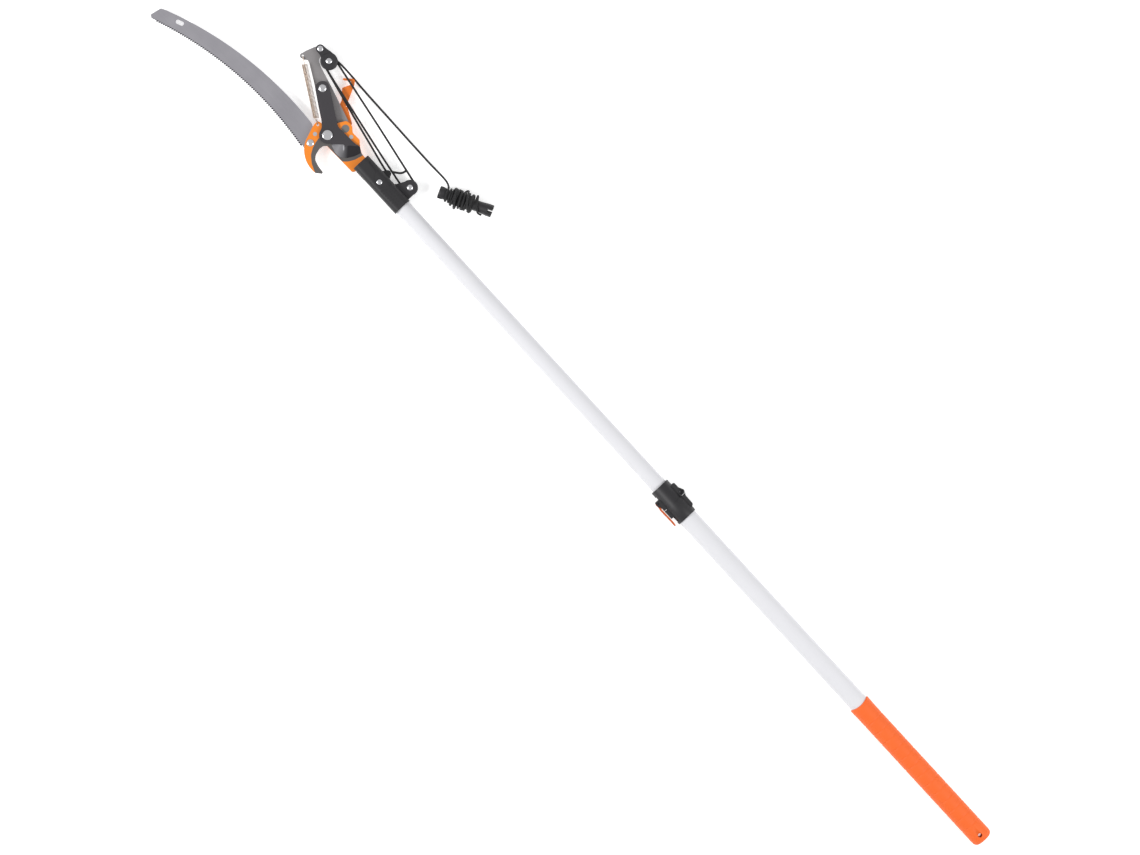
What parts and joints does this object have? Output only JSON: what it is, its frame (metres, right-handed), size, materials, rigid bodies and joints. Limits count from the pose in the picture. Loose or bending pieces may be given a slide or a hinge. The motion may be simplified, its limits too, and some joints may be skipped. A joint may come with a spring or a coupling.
{
  "type": "telescoping pole saw",
  "caption": "Telescoping pole saw: curved pull-saw blade and rope-operated bypass pruner on a two-section aluminium pole with a lever clamp, rubber grip and rope winder.",
  "frame": {"origin": "middle of the length and width of the tool without its loose rope, on the surface it lies on", "axes": "+X along the pole from the grip towards the saw, +Y across it towards the hook, +Z square to the plates of the head, up"},
  "size_m": [1.9338, 0.2066, 0.037],
  "materials": {
    "saw_steel": "ground flat, satin",
    "plate_paint": "stove enamel, satin",
    "catch_paint": "stove enamel, satin",
    "hook_steel": "phosphated and oiled, satin",
    "blade_coating": "non-stick coating, semi-matt",
    "lever_steel": "cast and lacquered, satin",
    "zinc_plating": "bright zinc plated",
    "spring_steel": "drawn wire, satin",
    "moulded_black": "glass-filled nylon, moulded",
    "cheek_steel": "black powder coat",
    "rope_black": "braided polyester",
    "tube_aluminium": "anodised, satin",
    "grip_rubber": "soft rubber, matt",
    "lever_orange": "moulded, semi-gloss"
  },
  "bodies": {
    "pole_base": {"lower_tube": "tube_aluminium", "grip": "grip_rubber", "clamp_body": "moulded_black", "clamp_sleeve": "moulded_black", "clamp_bolt": "zinc_plating", "clamp_nut": "zinc_plating", "clamp_lever_pin": "zinc_plating"},
    "clamp_lever": {"clamp_lever": "lever_orange"},
    "head": {"upper_tube": "tube_aluminium", "tube_bush": "moulded_black", "socket": "moulded_black", "socket_bolt": "zinc_plating", "socket_nut": "zinc_plating", "hook_plate": "hook_steel", "front_plate": "plate_paint", "neck_plate": "plate_paint", "rear_plate": "plate_paint", "wear_button": "zinc_plating", "plate_rivets": "zinc_plating", "pivot_bolt": "zinc_plating", "pivot_nut": "zinc_plating", "saw_blade": "saw_steel", "saw_bolt": "zinc_plating", "saw_nut": "zinc_plating", "rope_bracket": "cheek_steel", "bracket_rivets": "zinc_plating", "bracket_bolt": "zinc_plating", "bracket_nut": "zinc_plating", "rope_knob": "moulded_black", "bracket_rope": "rope_black", "winder": "moulded_black", "wound_rope": "rope_black"},
    "lever": {"lever": "lever_steel", "cutting_blade": "blade_coating", "lever_bolt": "zinc_plating", "lever_spacer": "zinc_plating"},
    "catch": {"catch": "catch_paint"},
    "block": {"block_cheek_front": "cheek_steel", "block_cheek_rear": "cheek_steel", "block_spacer": "zinc_plating", "block_bolts": "zinc_plating", "block_nuts": "zinc_plating", "block_rope": "rope_black"},
    "sheave_1": {"block_sheave_1": "moulded_black"},
    "sheave_2": {"block_sheave_2": "moulded_black"},
    "bracket_sheave": {"bracket_sheave": "moulded_black"},
    "strand_1": {"rope_strand_1": "rope_black"},
    "strands_2_3": {"rope_strand_2": "rope_black", "rope_strand_3": "rope_black", "keeper_cord": "rope_black"},
    "free_rope": {"free_rope": "rope_black"},
    "spring": {"return_spring": "spring_steel"},
    "spring_eye": {"spring_hook": "spring_steel"}
  },
  "joints": [
    {"name": "pole_slide", "type": "slide", "parent": "pole_base", "child": "head", "axis": [1, 0, 0], "range_m": [-0.6, 0.06]},
    {"name": "clamp_lever_pivot", "type": "hinge", "parent": "pole_base", "child": "clamp_lever", "pos_m": [-0.19487, 0.01806, 0.0185], "axis": [0, 0, -1], "range_deg": [0, 110]},
    {"name": "lever_pivot", "type": "hinge", "parent": "head", "child": "lever", "pos_m": [0.62213, 0.00806, 0.0185], "axis": [0, 0, -1], "range_deg": [0, 70], "stiffness_Nm_per_rad": 0.8, "springref_deg": -20.05},
    {"name": "catch_pivot", "type": "hinge", "parent": "head", "child": "catch", "pos_m": [0.62213, 0.00806, 0.0185], "axis": [0, 0, -1], "range_deg": [0, 45]},
    {"name": "block_hang", "type": "hinge", "parent": "lever", "child": "block", "pos_m": [0.73542, -0.07974, 0.0185], "axis": [0, 0, -1], "range_deg": [-41, 0]},
    {"name": "sheave_1_spin", "type": "hinge", "parent": "block", "child": "sheave_1", "pos_m": [0.71062, -0.07634, 0.0185], "axis": [0, 0, -1], "range_deg": [0, 610]},
    {"name": "sheave_2_spin", "type": "hinge", "parent": "block", "child": "sheave_2", "pos_m": [0.71062, -0.07634, 0.0185], "axis": [0, 0, -1], "range_deg": [0, 2055]},
    {"name": "bracket_sheave_spin", "type": "hinge", "parent": "head", "child": "bracket_sheave", "pos_m": [0.46663, -0.03354, 0.0185], "axis": [0, 0, -1], "range_deg": [0, 1335]},
    {"name": "strand_1_swing", "type": "hinge", "parent": "head", "child": "strand_1", "pos_m": [0.50882, -0.02224, 0.0185], "axis": [0, 0, -1], "range_deg": [0, 47], "deforming": ["rope_strand_1"]},
    {"name": "strands_2_3_swing", "type": "hinge", "parent": "head", "child": "strands_2_3", "pos_m": [0.46663, -0.03354, 0.0185], "axis": [0, 0, -1], "range_deg": [0, 31.5], "deforming": ["rope_strand_2", "rope_strand_3", "keeper_cord"]},
    {"name": "free_rope_swing", "type": "hinge", "parent": "head", "child": "free_rope", "pos_m": [0.42742, -0.08224, 0.0185], "axis": [0, 0, -1], "range_deg": [0, 15], "deforming": ["free_rope"]},
    {"name": "spring_swing", "type": "hinge", "parent": "head", "child": "spring", "pos_m": [0.64563, 0.00836, 0.0185], "axis": [0, 0, -1], "range_deg": [0, 75], "deforming": ["return_spring"]},
    {"name": "spring_stretch", "type": "slide", "parent": "spring", "child": "spring_eye", "axis": [0.8646, -0.5024, 0], "range_m": [0, 0.0255], "deforming": ["spring_hook"]}
  ],
  "couplings": [
    {"joint": "block_hang", "follows": "lever_pivot", "ratio": -0.566},
    {"joint": "sheave_1_spin", "follows": "lever_pivot", "ratio": 8.63},
    {"joint": "sheave_2_spin", "follows": "lever_pivot", "ratio": 29.27},
    {"joint": "bracket_sheave_spin", "follows": "lever_pivot", "ratio": 18.95},
    {"joint": "strand_1_swing", "follows": "lever_pivot", "ratio": 0.66},
    {"joint": "strands_2_3_swing", "follows": "lever_pivot", "ratio": 0.44},
    {"joint": "free_rope_swing", "follows": "lever_pivot", "ratio": 0.206},
    {"joint": "spring_swing", "follows": "lever_pivot", "ratio": 1.063},
    {"joint": "spring_stretch", "follows": "lever_pivot", "m_per_rad": 0.0205}
  ]
}
